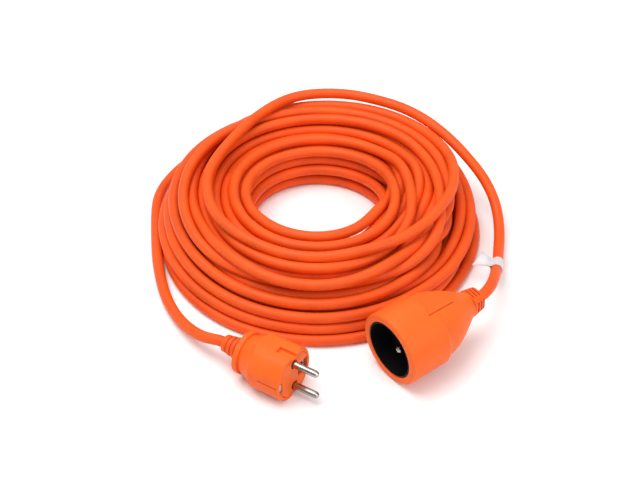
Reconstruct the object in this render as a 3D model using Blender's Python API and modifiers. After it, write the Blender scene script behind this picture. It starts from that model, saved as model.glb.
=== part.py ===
"""An extension cord: a 20 m rubberised mains lead in a round coil, with a plug and a socket.

Metres, +Z up. The origin is on the floor at the middle of the coil. Each end piece is
modelled about its own axis, with local +Z out of its face and local +X upwards, and an
empty holds it where it lies.
"""

import math

import bmesh
import bpy
from mathutils import Euler, Matrix, Vector

# ---------------------------------------------------------------- driving dimensions
GAP = 0.0003  # clearance between pieces that touch

CORD_RADIUS = 0.0039
COIL_OUTER_RADIUS = 0.1145
COIL_INNER_RADIUS = 0.0415
COIL_HEIGHT = 0.044
COIL_EDGE_RADIUS = 0.010
ROUTE_STEP = 0.018  # distance between a lead's rings

PLUG_FACE = (-0.0149, -0.1565)
PLUG_HEADING = math.radians(-33)
PLUG_BLOCK_RADIUS = 0.019
PLUG_FLAT = 0.017  # from the axis to the flat that it lies on
PLUG_BLOCK_LENGTH = 0.0285
GROOVE_DEPTH = 0.0022  # of the guide groove in each flat
GROOVE_WIDTH = 0.0056
GROOVE_LENGTH = 0.020
PLUG_FLANGE_RADIUS = 0.015
PLUG_FLANGE_FRONT = 0.036
PLUG_REAR = 0.040
PLUG_RELIEF_END = 0.055
PLUG_CHAMBER_END = 0.0320

PIN_SPACING = 0.019
PIN_RADIUS = 0.0024
PIN_LENGTH = 0.019
EARTH_OFFSET = 0.010  # earth pin or earth hole, from the axis
HOLE_CLEARANCE = 0.0003
PIN_TAIL = 0.0022  # how far a pin runs out of the back of its carrier
SINK_RADIUS = 0.0034  # of the countersink round each pin
SINK_DEPTH = 0.0012
SLEEVE_RADIUS = 0.0033
SLEEVE_BORE = 0.0026
SLEEVE_REAR = -0.0132

SOCKET_MOUTH = (0.0465, -0.1431)
SOCKET_HEADING = math.radians(217)
SOCKET_DIP = math.radians(3)
SOCKET_ROLL = math.radians(-55)  # the earth pin's direction, from up
SOCKET_RADIUS = 0.026
SOCKET_BORE = 0.0206
RECESS_RADIUS = 0.0194
RECESS_DEPTH = 0.0150
FACE_THICKNESS = 0.0024
CARRIER_REAR = 0.0345
SOCKET_REAR = 0.068
SOCKET_RELIEF_FRONT = 0.0565
SOCKET_RELIEF_END = 0.078
GRIP_SLOPE = math.radians(8.4)  # of the grip flats to the axis
GRIP_FLAT = 0.0198  # from the axis to a flat's middle
GRIP_MIDDLE = 0.040
GRIP_CUT_DEPTH = 0.010
GRIP_CUT_HALF_LENGTH = 0.019
FACE_HOLE_RADIUS = 0.0028
EARTH_PIN_TIP = 0.0006
EARTH_PIN_REAR = 0.0385

RELIEF_ROOT_RADIUS = 0.0068
PLUG_RELIEF_RADII = (0.0080, 0.0060)  # of the first rib and the last
SOCKET_RELIEF_RADII = (0.0082, 0.0068)
RIB_DEPTH = 0.0012

INSERT_RADIUS = 0.0160
INSERT_HALF = 0.0136
INSERT_LENGTH = 0.015
STRAP_HALF_WIDTH = 0.0035
STRAP_THICKNESS = 0.0009
STRAP_NEAR = 0.0152  # outer face of the near leg
STRAP_FAR = -0.0150
STRAP_BACK = -0.0168
STRAP_TOP = -0.0012  # front edge of the near leg
WINDOW_DEPTH = 0.0016
WINDOW_HALF = 0.0048
WINDOW_END = -0.0044

CARRIER_RADIUS = 0.0175
CARRIER_FRONT = -RECESS_DEPTH - FACE_THICKNESS - GAP
CONTACT_HALF = 0.0034
CONTACT_REAR = 0.0335
SHUTTER_ROOM = 0.0026
SHUTTER_HALF = 0.0034
SHUTTER_LENGTH = 0.0130
SHUTTER_TRAVEL = 0.0065
SHUTTER_THICKNESS = 0.0020
SPRING_TURNS = 5
SPRING_RADIUS = 0.0009
SPRING_WIRE_RADIUS = 0.0002

CORE_RADIUS = 0.0012
CORE_SPREAD = 0.0016
CRIMP_RADIUS = 0.0023
CRIMP_BORE = 0.0015
CRIMP_FLOOR = 0.0015
PLUG_CRIMP_LENGTH = 0.0048
SOCKET_CRIMP_LENGTH = 0.0052
PLUG_CORD_FRONT = -0.0345  # where the cord's sheath ends inside each end piece
SOCKET_CORD_FRONT = -0.0585

TAG_POINT = 16  # the route point that the tag is wrapped round
TAG_WIDTH = 0.0100
TAG_LENGTH = 0.0105
TAG_THICKNESS = 0.0004

# The lead from the coil to each end piece. The socket's starts on top of the coil.
SOCKET_ROUTE = (
    (-0.060, 0.066, 0.0484),
    (-0.051, 0.081, 0.0486),
    (-0.038, 0.098, 0.0486),
    (-0.023, 0.1115, 0.0486),
    (-0.008, 0.1175, 0.0486),
    (0.010, 0.119, 0.0486),
    (0.027, 0.117, 0.0486),
    (0.044, 0.111, 0.0484),
    (0.065, 0.101, 0.0476),
    (0.085, 0.085, 0.0453),
    (0.101, 0.068, 0.0405),
    (0.114, 0.053, 0.0335),
    (0.125, 0.039, 0.0250),
    (0.132, 0.021, 0.0160),
    (0.133, -0.002, 0.0090),
    (0.131, -0.018, 0.0080),
    (0.128, -0.040, 0.0120),
    (0.122, -0.070, 0.0240),
    (0.118, -0.084, 0.0285),
)
PLUG_ROUTE = (
    (-0.113, 0.070, 0.0040),
    (-0.119, 0.054, 0.0040),
    (-0.121, 0.036, 0.0040),
    (-0.119, 0.007, 0.0040),
    (-0.116, -0.022, 0.0040),
    (-0.111, -0.049, 0.0040),
    (-0.105, -0.070, 0.0042),
    (-0.097, -0.088, 0.0054),
    (-0.088, -0.103, 0.0085),
    (-0.079, -0.115, 0.0125),
    (-0.070, -0.122, 0.0156),
)

ORANGE = (0.90, 0.13, 0.02)
ORANGE_CORD = (0.86, 0.11, 0.02)
ORANGE_RELIEF = (0.82, 0.10, 0.02)
BLACK = (0.015, 0.015, 0.016)
DARK_GREY = (0.05, 0.05, 0.055)
NICKEL = (0.62, 0.60, 0.56)
BRASS = (0.72, 0.52, 0.22)
STEEL = (0.45, 0.45, 0.46)
IVORY = (0.80, 0.77, 0.68)
WHITE = (0.88, 0.88, 0.88)
BROWN = (0.16, 0.06, 0.02)
BLUE = (0.03, 0.14, 0.50)
GREEN_YELLOW = (0.35, 0.52, 0.06)


# ---------------------------------------------------------------- scene and helpers
def clear_scene():
    for leftover in list(bpy.data.objects):
        bpy.data.objects.remove(leftover, do_unlink=True)


def new_collection(name):
    collection = bpy.data.collections.new(name)
    bpy.context.scene.collection.children.link(collection)
    return collection


clear_scene()
PARTS = new_collection("extension_cord")
CUTTERS = new_collection("cutters")


def make_material(name, colour, roughness=0.5, metallic=0.0):
    material = bpy.data.materials.new(name)
    material.use_nodes = True
    shader = material.node_tree.nodes["Principled BSDF"]
    shader.inputs["Base Color"].default_value = (*colour, 1.0)
    shader.inputs["Roughness"].default_value = roughness
    shader.inputs["Metallic"].default_value = metallic
    return material


def put(name, mesh, collection, parent=None, location=(0, 0, 0), turn=(0, 0, 0)):
    piece = bpy.data.objects.new(name, mesh)
    piece.location = location
    piece.rotation_euler = Euler(turn)
    piece.parent = parent
    collection.objects.link(piece)
    return piece


def empty_at(name, matrix, parent=None):
    frame = bpy.data.objects.new(name, None)
    frame.parent = parent
    frame.matrix_basis = matrix
    PARTS.objects.link(frame)
    return frame


def finish_part(piece, colour, roughness=0.5, metallic=0.0):
    piece.data.materials.append(make_material(piece.name, colour, roughness, metallic))
    return piece


def box_mesh(name, size):
    bm = bmesh.new()
    bmesh.ops.create_cube(bm, size=1.0, matrix=Matrix.Diagonal((*size, 1.0)))
    mesh = bpy.data.meshes.new(name)
    bm.to_mesh(mesh)
    bm.free()
    return mesh


def cylinder_mesh(name, radius, length, segments):
    bm = bmesh.new()
    bmesh.ops.create_cone(bm, cap_ends=True, segments=segments, radius1=radius, radius2=radius, depth=length)
    mesh = bpy.data.meshes.new(name)
    bm.to_mesh(mesh)
    bm.free()
    return mesh


def profile_mesh(name, profile, is_ring):
    """The edges of a profile of (radius, z) points, from its top down the outer side."""
    bm = bmesh.new()
    points = [bm.verts.new((radius, 0.0, z)) for radius, z in profile]
    for start, end in zip(points, points[1:]):
        bm.edges.new((start, end))
    if is_ring:
        bm.edges.new((points[-1], points[0]))
    mesh = bpy.data.meshes.new(name)
    bm.to_mesh(mesh)
    bm.free()
    return mesh


def turned(name, profile, parent=None, steps=32, collection=PARTS, location=(0, 0, 0)):
    """A solid turned about local Z. A profile that starts and ends off the axis is a ring."""
    is_ring = profile[0][0] > 0 and profile[-1][0] > 0
    mesh = profile_mesh(name, profile, is_ring)
    piece = put(name, mesh, collection, parent, location)
    screw = piece.modifiers.new("turn", "SCREW")
    screw.axis = "Z"
    screw.angle = 2 * math.pi
    screw.steps = steps
    screw.render_steps = steps
    screw.use_merge_vertices = True
    screw.merge_threshold = 0.00001
    return piece


def hide_cutter(cutter):
    cutter.hide_render = True
    cutter.display_type = "WIRE"
    return cutter


def box_cutter(name, low, high, parent=None, turn=(0, 0, 0)):
    """A box between two corners. A turn is made about its middle."""
    size = [b - a for a, b in zip(low, high)]
    middle = [(a + b) / 2 for a, b in zip(low, high)]
    return hide_cutter(put(name, box_mesh(name, size), CUTTERS, parent, middle, turn))


def bore_cutter(name, radius, bottom, top, at=(0, 0), parent=None, segments=24):
    mesh = cylinder_mesh(name, radius, top - bottom, segments)
    return hide_cutter(put(name, mesh, CUTTERS, parent, (*at, (top + bottom) / 2)))


def turned_cutter(name, profile, parent=None, steps=32):
    return hide_cutter(turned(name, profile, parent, steps, CUTTERS))


def boolean(piece, other, operation="DIFFERENCE"):
    modifier = piece.modifiers.new(other.name, "BOOLEAN")
    modifier.object = other
    modifier.operation = operation
    modifier.solver = "EXACT"
    return piece


def catmull_rom(t, knots, points):
    """The point at knot value t of the curve whose four points have these four knots."""
    level = list(points)
    for width in (1, 2, 3):
        spans = []
        for index in range(4 - width):
            if width == 3:
                low, high = knots[1], knots[2]
            else:
                low, high = knots[index], knots[index + width]
            spans.append(level[index].lerp(level[index + 1], (t - low) / (high - low)))
        level = spans
    return level[0]


def smooth_route(route, step):
    """Points about a step apart on a centripetal Catmull-Rom curve through the route."""
    points = [Vector(point) for point in route]
    points = [2 * points[0] - points[1], *points, 2 * points[-1] - points[-2]]
    curve = []
    for four in zip(points, points[1:], points[2:], points[3:]):
        knots = [0.0]
        for a, b in zip(four, four[1:]):
            knots.append(knots[-1] + math.sqrt((b - a).length))
        pieces = max(1, round((four[2] - four[1]).length / step))
        for index in range(pieces):
            t = knots[1] + (knots[2] - knots[1]) * index / pieces
            curve.append(catmull_rom(t, knots, four))
    curve.append(points[-2])
    return curve


def tube(name, points, radius, parent=None, bevel_resolution=2):
    """A round tube with filled caps along a line of points."""
    curve = bpy.data.curves.new(name, "CURVE")
    curve.dimensions = "3D"
    curve.bevel_depth = radius
    curve.bevel_resolution = bevel_resolution
    curve.use_fill_caps = True
    spline = curve.splines.new("POLY")
    spline.points.add(len(points) - 1)
    for point, place in zip(spline.points, points):
        point.co = (*place, 1.0)
    return put(name, curve, PARTS, parent)


# ---------------------------------------------------------------- the two frames
def axis_frame(name, place, heading, dip):
    """An empty whose +Z points along the heading, dipped below level, with +X upwards."""
    level = Vector((math.cos(heading), math.sin(heading), 0))
    forward = level * math.cos(dip) - Vector((0, 0, math.sin(dip)))
    upward = (Vector((0, 0, 1)) - forward * forward.z).normalized()
    sideways = forward.cross(upward)
    matrix = Matrix((upward, sideways, forward)).transposed().to_4x4()
    matrix.translation = place
    return empty_at(name, matrix)


def socket_height():
    """The socket lies on the lowest point of its mouth."""
    return SOCKET_RADIUS * math.cos(SOCKET_DIP)


PLUG = axis_frame("plug_frame", (*PLUG_FACE, PLUG_FLAT), PLUG_HEADING, 0)
SOCKET = axis_frame("socket_frame", (*SOCKET_MOUTH, socket_height()), SOCKET_HEADING, SOCKET_DIP)
INSERT = empty_at("socket_insert_frame", Matrix.Rotation(SOCKET_ROLL, 4, "Z"), SOCKET)
PIN_SIDES = (("live", 1), ("neutral", -1))
CORE_COLOURS = {"live": BROWN, "neutral": BLUE, "earth": GREEN_YELLOW}


# ---------------------------------------------------------------- plug
def plug_block_profile():
    block = PLUG_BLOCK_RADIUS
    flange = PLUG_FLANGE_RADIUS
    front = -PLUG_FLANGE_FRONT
    return (
        (0, 0),
        (block - 0.0012, 0),
        (block, -0.0014),
        (block, -PLUG_BLOCK_LENGTH + 0.002),
        (block - 0.0022, -PLUG_BLOCK_LENGTH),
        (0.0142, -0.0305),
        (0.0130, -0.0330),
        (0.0126, front),
        (flange - 0.0007, front),
        (flange, front - 0.0008),
        (flange, -PLUG_REAR + 0.0008),
        (flange - 0.0008, -PLUG_REAR),
        (0, -PLUG_REAR),
    )


def add_plug_housing():
    housing = turned("plug_housing", plug_block_profile(), PLUG, steps=40)
    for side in (1, -1):
        low, high = sorted((side * PLUG_FLAT, side * 0.03))
        block_end = -PLUG_BLOCK_LENGTH - 0.002
        flat = box_cutter(f"plug_flat_{side}", (low, -0.03, block_end), (high, 0.03, 0.01), PLUG)
        boolean(housing, flat)
        low, high = sorted((side * (PLUG_FLAT - GROOVE_DEPTH), side * 0.03))
        half = GROOVE_WIDTH / 2
        groove = box_cutter(f"plug_groove_{side}", (low, -half, -GROOVE_LENGTH), (high, half, 0.01), PLUG)
        boolean(housing, groove)
    pocket = bore_cutter("plug_pocket", INSERT_RADIUS + GAP, STRAP_BACK - GAP, 0.01, parent=PLUG, segments=32)
    pocket_sides = box_cutter(
        "plug_pocket_sides", (-INSERT_HALF - GAP, -0.03, -0.03), (INSERT_HALF + GAP, 0.03, 0.02), PLUG
    )
    boolean(pocket, pocket_sides, "INTERSECT")
    boolean(housing, pocket)
    chamber = (
        (0, -INSERT_LENGTH + 0.001),
        (0.0138, -INSERT_LENGTH + 0.001),
        (0.0138, -0.0235),
        (0.0098, -PLUG_CHAMBER_END + 0.001),
        (RELIEF_ROOT_RADIUS + GAP, -PLUG_CHAMBER_END),
        (RELIEF_ROOT_RADIUS + GAP, -PLUG_REAR - 0.005),
        (0, -PLUG_REAR - 0.005),
    )
    boolean(housing, turned_cutter("plug_chamber", chamber, PLUG))
    return finish_part(housing, ORANGE, 0.45)


def add_plug_insert():
    """The hard carrier that the pins are pressed into, with the window of the earth hole."""
    mesh = cylinder_mesh("plug_insert", INSERT_RADIUS, INSERT_LENGTH, 32)
    insert = put("plug_insert", mesh, PARTS, PLUG, (0, 0, -INSERT_LENGTH / 2))
    sides = box_cutter("insert_sides", (-INSERT_HALF, -0.02, -0.03), (INSERT_HALF, 0.02, 0.02), PLUG)
    boolean(insert, sides, "INTERSECT")
    for name, side in PIN_SIDES:
        at = (side * PIN_SPACING / 2, 0)
        boolean(insert, bore_cutter(f"pin_hole_{name}", PIN_RADIUS + HOLE_CLEARANCE, -0.02, 0.01, at, PLUG))
        boolean(insert, bore_cutter(f"pin_sink_{name}", SINK_RADIUS, -SINK_DEPTH, 0.01, at, PLUG))
    wide = STRAP_HALF_WIDTH + GAP
    near = box_cutter(
        "near_slot", (-wide, STRAP_NEAR - STRAP_THICKNESS - GAP, -0.02), (wide, 0.02, 0.01), PLUG
    )
    boolean(insert, near)
    far = box_cutter(
        "far_slot", (-wide, -0.02, -0.02), (wide, STRAP_FAR + STRAP_THICKNESS + GAP, -0.002), PLUG
    )
    boolean(insert, far)
    window = box_cutter(
        "window",
        (-WINDOW_HALF - GAP, STRAP_FAR - GAP, -WINDOW_DEPTH - STRAP_THICKNESS - GAP),
        (WINDOW_HALF + GAP, WINDOW_END, 0.01),
        PLUG,
    )
    boolean(insert, window)
    hole = bore_cutter(
        "sleeve_hole", SLEEVE_RADIUS + GAP, SLEEVE_REAR - 0.0004, 0.0, (0, -EARTH_OFFSET), PLUG
    )
    boolean(insert, hole)
    return finish_part(insert, ORANGE, 0.5)


def add_plug_pins():
    """Solid pins with domed tips, which end behind the carrier."""
    rear = INSERT_LENGTH + PIN_TAIL
    tip = (
        (0, PIN_LENGTH),
        (PIN_RADIUS * 0.50, PIN_LENGTH - 0.0003),
        (PIN_RADIUS * 0.87, PIN_LENGTH - 0.0012),
        (PIN_RADIUS, PIN_LENGTH - 0.0026),
        (PIN_RADIUS, -rear),
        (0, -rear),
    )
    for name, side in PIN_SIDES:
        pin = turned(f"plug_pin_{name}", tip, PLUG, 20, location=(side * PIN_SPACING / 2, 0, 0))
        finish_part(pin, NICKEL, 0.2, 1.0)


def add_plug_earth():
    """The bent earth strap: a clip on each side, a bar behind and a plate with the earth hole."""
    half = STRAP_HALF_WIDTH
    thick = STRAP_THICKNESS
    back = (-half, STRAP_FAR, STRAP_BACK)
    bar_size = (2 * half, STRAP_NEAR - STRAP_FAR, thick)
    strap = put(
        "plug_earth_strap",
        box_mesh("plug_earth_strap", bar_size),
        PARTS,
        PLUG,
        [low + size / 2 for low, size in zip(back, bar_size)],
    )
    near = box_cutter(
        "strap_near", (-half, STRAP_NEAR - thick, STRAP_BACK), (half, STRAP_NEAR, STRAP_TOP), PLUG
    )
    far = box_cutter(
        "strap_far", (-half, STRAP_FAR, STRAP_BACK), (half, STRAP_FAR + thick, -WINDOW_DEPTH - 0.0004), PLUG
    )
    plate = box_cutter(
        "strap_plate",
        (-WINDOW_HALF, STRAP_FAR, -WINDOW_DEPTH - thick),
        (WINDOW_HALF, WINDOW_END - GAP, -WINDOW_DEPTH),
        PLUG,
    )
    for leg in (near, far, plate):
        boolean(strap, leg, "UNION")
    boolean(strap, bore_cutter("strap_hole", SLEEVE_BORE, -0.004, 0.0, (0, -EARTH_OFFSET), PLUG))
    finish_part(strap, NICKEL, 0.28, 1.0)
    top = -WINDOW_DEPTH - thick - GAP
    profile = (
        (SLEEVE_RADIUS, top),
        (SLEEVE_RADIUS, SLEEVE_REAR),
        (SLEEVE_BORE, SLEEVE_REAR),
        (SLEEVE_BORE, top),
    )
    sleeve = turned("plug_earth_sleeve", profile, PLUG, 20, location=(0, -EARTH_OFFSET, 0))
    finish_part(sleeve, BRASS, 0.3, 1.0)


def add_crimp(name, parent, at, front, length):
    """A crimp barrel: a cup that opens to the rear, for the core."""
    floor = front - CRIMP_FLOOR
    rear = front - length
    cup = (
        (0, front),
        (CRIMP_RADIUS, front),
        (CRIMP_RADIUS, rear),
        (CRIMP_BORE, rear),
        (CRIMP_BORE, floor),
        (0, floor),
    )
    finish_part(turned(name, cup, parent, 16, location=(*at, 0)), BRASS, 0.3, 1.0)


def add_core(name, parent, at, start, end, spot, colour):
    """An insulated core from its crimp to its place in the end of the cord."""
    bend = (start - end) * 0.42
    route = (
        (*at, start),
        (*at, start - 0.0020),
        (*at, start - 0.0040),
        (at[0] * 0.75 + spot[0] * 0.25, at[1] * 0.75 + spot[1] * 0.25, start - bend - 0.001),
        (at[0] * 0.25 + spot[0] * 0.75, at[1] * 0.25 + spot[1] * 0.75, end + bend * 0.55),
        (*spot, end + 0.001),
        (*spot, end),
    )
    finish_part(tube(name, smooth_route(route, 0.003), CORE_RADIUS, parent), colour, 0.5)


def add_plug_wiring():
    crimp_front = -INSERT_LENGTH - PIN_TAIL - GAP
    places = {
        "live": (PIN_SPACING / 2, 0),
        "neutral": (-PIN_SPACING / 2, 0),
        "earth": (0, 0.004),
    }
    spots = core_spots({"live": 0, "earth": 120, "neutral": 240})
    for name, at in places.items():
        add_crimp(f"plug_crimp_{name}", PLUG, at, crimp_front, PLUG_CRIMP_LENGTH)
        start = crimp_front - CRIMP_FLOOR - GAP
        add_core(
            f"plug_core_{name}", PLUG, at, start, PLUG_CORD_FRONT + GAP, spots[name], CORE_COLOURS[name]
        )


def core_spots(angles):
    """The three cores sit in a triangle in the cord."""
    places = {}
    for name, angle in angles.items():
        turn = math.radians(angle)
        places[name] = (CORE_SPREAD * math.cos(turn), CORE_SPREAD * math.sin(turn))
    return places


def add_cord_end(name, parent, front, rear):
    mesh = cylinder_mesh(name, CORD_RADIUS, front - rear, 16)
    finish_part(put(name, mesh, PARTS, parent, (0, 0, (front + rear) / 2)), ORANGE_CORD, 0.5)


def ribbed_relief(name, parent, front, shoulder, rear, radii, ribs):
    """A tapered sleeve on the cord, with its root held inside the housing."""
    start, end = radii
    outer = [(RELIEF_ROOT_RADIUS, front), (RELIEF_ROOT_RADIUS, shoulder)]
    pitch = (shoulder - rear) / ribs
    for index in range(ribs):
        top = shoulder - index * pitch
        share = index / max(1, ribs - 1)
        radius = start + (end - start) * share
        outer.append((radius, top - 0.0001))
        outer.append((radius, top - pitch * 0.62))
        if index < ribs - 1:
            outer.append((radius - RIB_DEPTH, top - pitch * 0.66))
            outer.append((radius - RIB_DEPTH, top - pitch))
    outer.append((end - 0.0003, rear))
    bore = CORD_RADIUS + GAP
    profile = (*outer, (bore, rear), (bore, front))
    finish_part(turned(name, profile, parent, 28), ORANGE_RELIEF, 0.5)


def add_plug():
    add_plug_housing()
    add_plug_insert()
    add_plug_pins()
    add_plug_earth()
    add_plug_wiring()
    add_cord_end("plug_cord_end", PLUG, PLUG_CORD_FRONT, -PLUG_RELIEF_END)
    front = -PLUG_CHAMBER_END - GAP
    shoulder = -PLUG_REAR - GAP
    ribbed_relief("plug_strain_relief", PLUG, front, shoulder, -PLUG_RELIEF_END, PLUG_RELIEF_RADII, 4)


# ---------------------------------------------------------------- socket
def add_socket_housing():
    big = SOCKET_RADIUS
    outer = (
        (SOCKET_BORE, 0),
        (big - 0.0035, 0),
        (big - 0.0012, -0.0008),
        (big, -0.0034),
        (big, -0.0310),
        (big - 0.0022, -0.0325),
        (big - 0.0032, -0.0420),
        (0.0200, -0.0480),
        (0.0152, -0.0570),
        (0.0100, -0.0650),
        (0.0086, -SOCKET_REAR),
        (RELIEF_ROOT_RADIUS + GAP, -SOCKET_REAR),
        (RELIEF_ROOT_RADIUS + GAP, -0.0560),
        (0.0110, -0.0530),
        (0.0145, -0.0440),
        (0.0165, -CARRIER_REAR - 0.0010),
        (CARRIER_RADIUS + GAP, -CARRIER_REAR - 0.0010),
        (CARRIER_RADIUS + GAP, CARRIER_FRONT),
        (SOCKET_BORE, CARRIER_FRONT),
    )
    housing = turned("socket_housing", outer, SOCKET, steps=48)
    half = Vector((GRIP_CUT_DEPTH, 0.03, GRIP_CUT_HALF_LENGTH))
    for side in (1, -1):
        middle = Vector((side * (GRIP_FLAT + GRIP_CUT_DEPTH), 0, -GRIP_MIDDLE))
        turn = (0, side * GRIP_SLOPE, 0)
        flat = box_cutter(f"grip_flat_{side}", middle - half, middle + half, SOCKET, turn)
        boolean(housing, flat)
    return finish_part(housing, ORANGE, 0.42)


def add_socket_face():
    """The black cup of the recess, with holes for the pins and for the earth pin."""
    outer = SOCKET_BORE - GAP
    rear = -RECESS_DEPTH - FACE_THICKNESS
    cup = (
        (0, -RECESS_DEPTH),
        (RECESS_RADIUS, -RECESS_DEPTH),
        (RECESS_RADIUS, -0.0006),
        (outer - 0.0003, -0.0006),
        (outer, -0.0009),
        (outer, rear),
        (0, rear),
    )
    face = turned("socket_face", cup, INSERT, steps=40)
    for name, side in PIN_SIDES:
        at = (0, side * PIN_SPACING / 2)
        boolean(face, bore_cutter(f"face_hole_{name}", FACE_HOLE_RADIUS, -0.03, 0.01, at, INSERT))
    earth = bore_cutter("face_earth", PIN_RADIUS + HOLE_CLEARANCE, -0.03, 0.01, (EARTH_OFFSET, 0), INSERT)
    boolean(face, earth)
    return finish_part(face, BLACK, 0.35)


def add_contact_carrier():
    """The block behind the face: a track for the shutter, and a chamber for each contact."""
    middle = (CARRIER_FRONT - CARRIER_REAR) / 2
    length = CARRIER_REAR + CARRIER_FRONT
    mesh = cylinder_mesh("socket_contact_carrier", CARRIER_RADIUS, length, 40)
    carrier = put("socket_contact_carrier", mesh, PARTS, INSERT, (0, 0, middle))
    floor = CARRIER_FRONT - SHUTTER_ROOM
    track_low = (-SHUTTER_HALF - SHUTTER_TRAVEL - GAP, -SHUTTER_LENGTH - GAP, floor)
    track_high = (SHUTTER_HALF + GAP, SHUTTER_LENGTH + GAP, 0)
    boolean(carrier, box_cutter("shutter_track", track_low, track_high, INSERT))
    boolean(carrier, box_cutter("spring_pocket", (-0.0140, -0.0015, floor), (0, 0.0015, 0), INSERT))
    chamber = CONTACT_HALF + GAP
    for name, side in PIN_SIDES:
        y = side * PIN_SPACING / 2
        cutter = box_cutter(
            f"contact_chamber_{name}", (-chamber, y - chamber, -0.05), (chamber, y + chamber, 0), INSERT
        )
        boolean(carrier, cutter)
    earth = bore_cutter("carrier_earth", PIN_RADIUS + HOLE_CLEARANCE, -0.05, 0.01, (EARTH_OFFSET, 0), INSERT)
    boolean(carrier, earth)
    return finish_part(carrier, IVORY, 0.55)


def add_shutter():
    """The child-protection shutter. It covers both holes, and slides away from the earth pin."""
    front = CARRIER_FRONT - GAP
    size = (2 * SHUTTER_HALF, 2 * SHUTTER_LENGTH, SHUTTER_THICKNESS)
    mesh = box_mesh("socket_shutter", size)
    shutter = put("socket_shutter", mesh, PARTS, INSERT, (0, 0, front - SHUTTER_THICKNESS / 2))
    return finish_part(shutter, DARK_GREY, 0.4)


def add_shutter_spring():
    start = -SHUTTER_HALF - 0.0006
    end = -0.0134
    steps_per_turn = 8
    count = SPRING_TURNS * steps_per_turn
    middle = CARRIER_FRONT - SHUTTER_ROOM / 2
    points = []
    for index in range(count + 1):
        angle = 2 * math.pi * index / steps_per_turn
        x = start + (end - start) * index / count
        y = SPRING_RADIUS * math.cos(angle)
        z = middle + SPRING_RADIUS * math.sin(angle)
        points.append(Vector((x, y, z)))
    finish_part(tube("socket_shutter_spring", points, SPRING_WIRE_RADIUS, INSERT, 1), STEEL, 0.3, 1.0)


def add_contacts():
    """A sleeve contact for each pin, and the earth pin through the face."""
    front = CARRIER_FRONT - SHUTTER_ROOM - GAP
    length = CONTACT_REAR + front
    for name, side in PIN_SIDES:
        size = (2 * CONTACT_HALF, 2 * CONTACT_HALF, length)
        at = (0, side * PIN_SPACING / 2)
        mesh = box_mesh(f"socket_contact_{name}", size)
        contact = put(f"socket_contact_{name}", mesh, PARTS, INSERT, (*at, front - length / 2))
        boolean(contact, bore_cutter(f"contact_bore_{name}", 0.0025, -0.031, 0, at, INSERT, 16))
        finish_part(contact, BRASS, 0.3, 1.0)
    tip = (
        (0, -EARTH_PIN_TIP),
        (PIN_RADIUS * 0.50, -EARTH_PIN_TIP - 0.0003),
        (PIN_RADIUS * 0.87, -EARTH_PIN_TIP - 0.0012),
        (PIN_RADIUS, -EARTH_PIN_TIP - 0.0026),
        (PIN_RADIUS, -EARTH_PIN_REAR),
        (0, -EARTH_PIN_REAR),
    )
    pin = turned("socket_earth_pin", tip, INSERT, 20, location=(EARTH_OFFSET, 0, 0))
    finish_part(pin, NICKEL, 0.2, 1.0)


def add_socket_wiring():
    places = {
        "live": (0, PIN_SPACING / 2, -CONTACT_REAR - GAP),
        "neutral": (0, -PIN_SPACING / 2, -CONTACT_REAR - GAP),
        "earth": (EARTH_OFFSET, 0, -EARTH_PIN_REAR - GAP),
    }
    spots = core_spots({"live": 120, "earth": 0, "neutral": 240})
    for name, (x, y, front) in places.items():
        add_crimp(f"socket_crimp_{name}", INSERT, (x, y), front, SOCKET_CRIMP_LENGTH)
        start = front - CRIMP_FLOOR - GAP
        end = SOCKET_CORD_FRONT + GAP
        add_core(f"socket_core_{name}", INSERT, (x, y), start, end, spots[name], CORE_COLOURS[name])


def add_socket():
    add_socket_housing()
    add_socket_face()
    add_contact_carrier()
    add_shutter()
    add_shutter_spring()
    add_contacts()
    add_socket_wiring()
    add_cord_end("socket_cord_end", SOCKET, SOCKET_CORD_FRONT, -SOCKET_RELIEF_END)
    front = -SOCKET_RELIEF_FRONT
    shoulder = -SOCKET_REAR - GAP
    ribbed_relief("socket_strain_relief", SOCKET, front, shoulder, -SOCKET_RELIEF_END, SOCKET_RELIEF_RADII, 3)


# ---------------------------------------------------------------- cord
def arc_points(middle, radius, start, end, pieces):
    """Points on an arc in the (radius, z) plane, with angles in degrees."""
    points = []
    for index in range(pieces + 1):
        angle = math.radians(start + (end - start) * index / pieces)
        points.append((middle[0] + radius * math.cos(angle), middle[1] + radius * math.sin(angle)))
    return points


def add_coil():
    """The outer shape of the coil: a turned ring with rounded edges."""
    edge = COIL_EDGE_RADIUS
    inner = COIL_INNER_RADIUS + edge
    outer = COIL_OUTER_RADIUS - edge
    low = edge
    high = COIL_HEIGHT - edge
    profile = [
        *arc_points((inner, high), edge, 180, 90, 3),
        *arc_points((outer, high), edge, 90, 0, 3),
        *arc_points((outer, low), edge, 0, -90, 3),
        *arc_points((inner, low), edge, -90, -180, 3),
    ]
    finish_part(turned("cord_coil", profile, steps=64), ORANGE_CORD, 0.5)


def relief_end(frame, end):
    """Where a lead meets its strain relief, and a point just beyond that holds its direction."""
    matrix = frame.matrix_basis
    return [matrix @ Vector((0, 0, -end - distance)) for distance in (0.004, GAP)]


def add_leads():
    socket_points = [*SOCKET_ROUTE, *relief_end(SOCKET, SOCKET_RELIEF_END)]
    plug_points = [*PLUG_ROUTE, *relief_end(PLUG, PLUG_RELIEF_END)]
    for name, route in (("cord_socket_lead", socket_points), ("cord_plug_lead", plug_points)):
        lead = tube(name, smooth_route(route, ROUTE_STEP), CORD_RADIUS, bevel_resolution=2)
        finish_part(lead, ORANGE_CORD, 0.5)


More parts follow.
